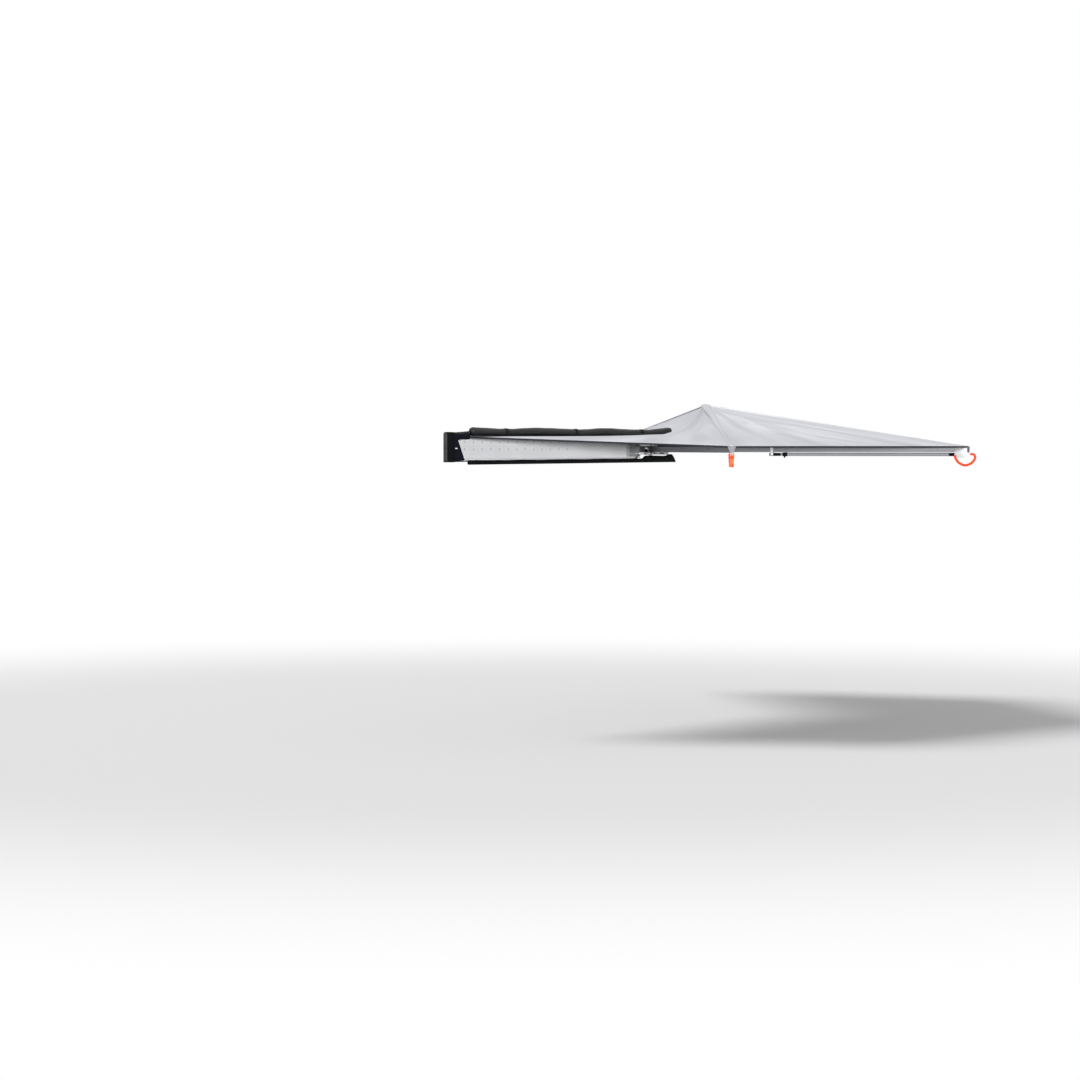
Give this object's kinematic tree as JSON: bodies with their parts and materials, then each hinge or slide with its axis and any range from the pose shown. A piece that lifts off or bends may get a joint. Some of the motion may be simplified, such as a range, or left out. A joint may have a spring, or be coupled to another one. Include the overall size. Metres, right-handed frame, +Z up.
{
  "type": "vehicle side awning",
  "caption": "Fan-shaped side awning for a roof rack: arms swing out from a hinge at the case's end and spread a peaked canopy, with stowed telescopic legs.",
  "frame": {"origin": "on the plane of the rack that the two brackets bolt to, half way along the case, level with the middle of the back plate", "axes": "+X along the case to the vehicle's front, +Y outboard, +Z up"},
  "size_m": [4.7253, 3.9481, 0.447],
  "materials": {
    "silver_aluminium": "satin, clear anodised",
    "grey_aluminium": "satin, grey anodised",
    "plated_steel": "zinc plated",
    "black_plastic": "moulded, fine grain",
    "white_plastic": "moulded, smooth",
    "black_cover": "coated cloth with a faint sheen",
    "black_webbing": "woven webbing",
    "grey_canopy": "light silver-grey ripstop cloth",
    "grey_webbing": "woven webbing",
    "orange_strap": "woven orange-red webbing"
  },
  "bodies": {
    "case": {"back_plate": "silver_aluminium", "canopy_rail": "silver_aluminium", "floor_rail": "silver_aluminium", "rack_bracket_1": "plated_steel", "rack_bracket_2": "plated_steel", "end_wall": "black_plastic", "cover_tray": "black_cover", "hinge_web": "silver_aluminium", "hinge_plate_lower": "silver_aluminium", "hinge_plate_upper": "silver_aluminium", "hinge_pin": "plated_steel", "hinge_nut": "plated_steel", "hinge_washer_lower": "black_plastic", "hinge_washer_upper": "black_plastic"},
    "cover_flap": {"cover_roof": "black_cover", "roll_tie_1": "black_webbing", "roll_tie_2": "black_webbing", "roll_tie_3": "black_webbing"},
    "zip": {"zip_slider": "black_plastic"},
    "arm_1": {"arm_1": "grey_aluminium", "knuckle_1": "silver_aluminium", "arm_cap_1": "black_plastic", "corner_tab_1": "grey_webbing", "tie_strap_1": "orange_strap", "canopy_panel_1": "grey_canopy"},
    "arm_2": {"arm_2": "grey_aluminium", "knuckle_2": "silver_aluminium", "arm_cap_2": "black_plastic", "corner_tab_2": "grey_webbing", "tie_strap_2": "orange_strap", "canopy_panel_2": "grey_canopy", "canopy_panel_3": "grey_canopy", "peak_post": "silver_aluminium", "peak_cap": "black_plastic", "leg_bracket_2": "plated_steel", "leg_clip_2": "white_plastic"},
    "arm_3": {"arm_3": "grey_aluminium", "knuckle_3": "silver_aluminium", "arm_cap_3": "black_plastic", "corner_tab_3": "grey_webbing", "canopy_panel_4": "grey_canopy"},
    "arm_4": {"arm_4": "grey_aluminium", "knuckle_4": "silver_aluminium", "arm_cap_4": "black_plastic", "corner_tab_4": "grey_webbing", "canopy_panel_5": "grey_canopy", "leg_bracket_4": "plated_steel", "leg_clip_4": "white_plastic"},
    "leg_2": {"leg_head_2": "black_plastic", "leg_tube_2": "silver_aluminium", "leg_collar_2": "black_plastic"},
    "leg_slide_2": {"leg_inner_2": "silver_aluminium", "leg_foot_2": "black_plastic"},
    "leg_knob_2": {"leg_knob_2": "black_plastic"},
    "leg_4": {"leg_head_4": "black_plastic", "leg_tube_4": "silver_aluminium", "leg_collar_4": "black_plastic"},
    "leg_slide_4": {"leg_inner_4": "silver_aluminium", "leg_foot_4": "black_plastic"},
    "leg_knob_4": {"leg_knob_4": "black_plastic"}
  },
  "joints": [
    {"name": "arm_1_fold", "type": "hinge", "parent": "case", "child": "arm_1", "pos_m": [-1.165, 0.1, 0], "axis": [0, 0, 1], "range_deg": [-48, 0], "deforming": ["canopy_panel_1", "corner_tab_1", "tie_strap_1"]},
    {"name": "arm_2_fold", "type": "hinge", "parent": "arm_1", "child": "arm_2", "pos_m": [-1.165, 0.1, 0], "axis": [0, 0, 1], "range_deg": [-63, 0], "deforming": ["canopy_panel_2", "corner_tab_2", "tie_strap_2"]},
    {"name": "arm_3_fold", "type": "hinge", "parent": "arm_2", "child": "arm_3", "pos_m": [-1.165, 0.1, 0], "axis": [0, 0, 1], "range_deg": [-55, 0], "deforming": ["canopy_panel_3", "corner_tab_3"]},
    {"name": "arm_4_fold", "type": "hinge", "parent": "arm_3", "child": "arm_4", "pos_m": [-1.165, 0.1, 0], "axis": [0, 0, 1], "range_deg": [-56, 0], "deforming": ["canopy_panel_4", "canopy_panel_5", "corner_tab_4"]},
    {"name": "cover_open", "type": "hinge", "parent": "case", "child": "cover_flap", "pos_m": [0, 0.0403, 0.0976], "axis": [1, 0, 0], "range_deg": [0, 95]},
    {"name": "zip_slide", "type": "slide", "parent": "case", "child": "zip", "axis": [1, 0, 0], "range_m": [0, 2.3]},
    {"name": "leg_2_fold", "type": "hinge", "parent": "arm_2", "child": "leg_2", "pos_m": [-2.01445, 2.23756, -0.054], "axis": [0.9336, 0.3584, 0], "range_deg": [0, 90]},
    {"name": "leg_2_extend", "type": "slide", "parent": "leg_2", "child": "leg_slide_2", "axis": [0.3584, -0.9336, 0], "range_m": [0, 0.7]},
    {"name": "leg_2_clamp", "type": "hinge", "parent": "leg_2", "child": "leg_knob_2", "pos_m": [-1.53876, 1.0416, -0.059], "axis": [0.9336, 0.3584, 0], "range_deg": [0, 90]},
    {"name": "leg_4_fold", "type": "hinge", "parent": "arm_4", "child": "leg_4", "pos_m": [-2.80531, -1.51554, -0.054], "axis": [-0.6691, 0.7431, 0], "range_deg": [0, 90]},
    {"name": "leg_4_extend", "type": "slide", "parent": "leg_4", "child": "leg_slide_4", "axis": [0.7431, 0.6691, 0], "range_m": [0, 0.7]},
    {"name": "leg_4_clamp", "type": "hinge", "parent": "leg_4", "child": "leg_knob_4", "pos_m": [-1.85926, -0.64285, -0.059], "axis": [-0.6691, 0.7431, 0], "range_deg": [0, 90]}
  ],
  "couplings": [
    {"joint": "arm_2_fold", "follows": "arm_1_fold", "ratio": 1.3125},
    {"joint": "arm_3_fold", "follows": "arm_1_fold", "ratio": 1.1458},
    {"joint": "arm_4_fold", "follows": "arm_1_fold", "ratio": 1.1666},
    {"joint": "cover_open", "follows": "arm_1_fold", "ratio": -1.979}
  ]
}
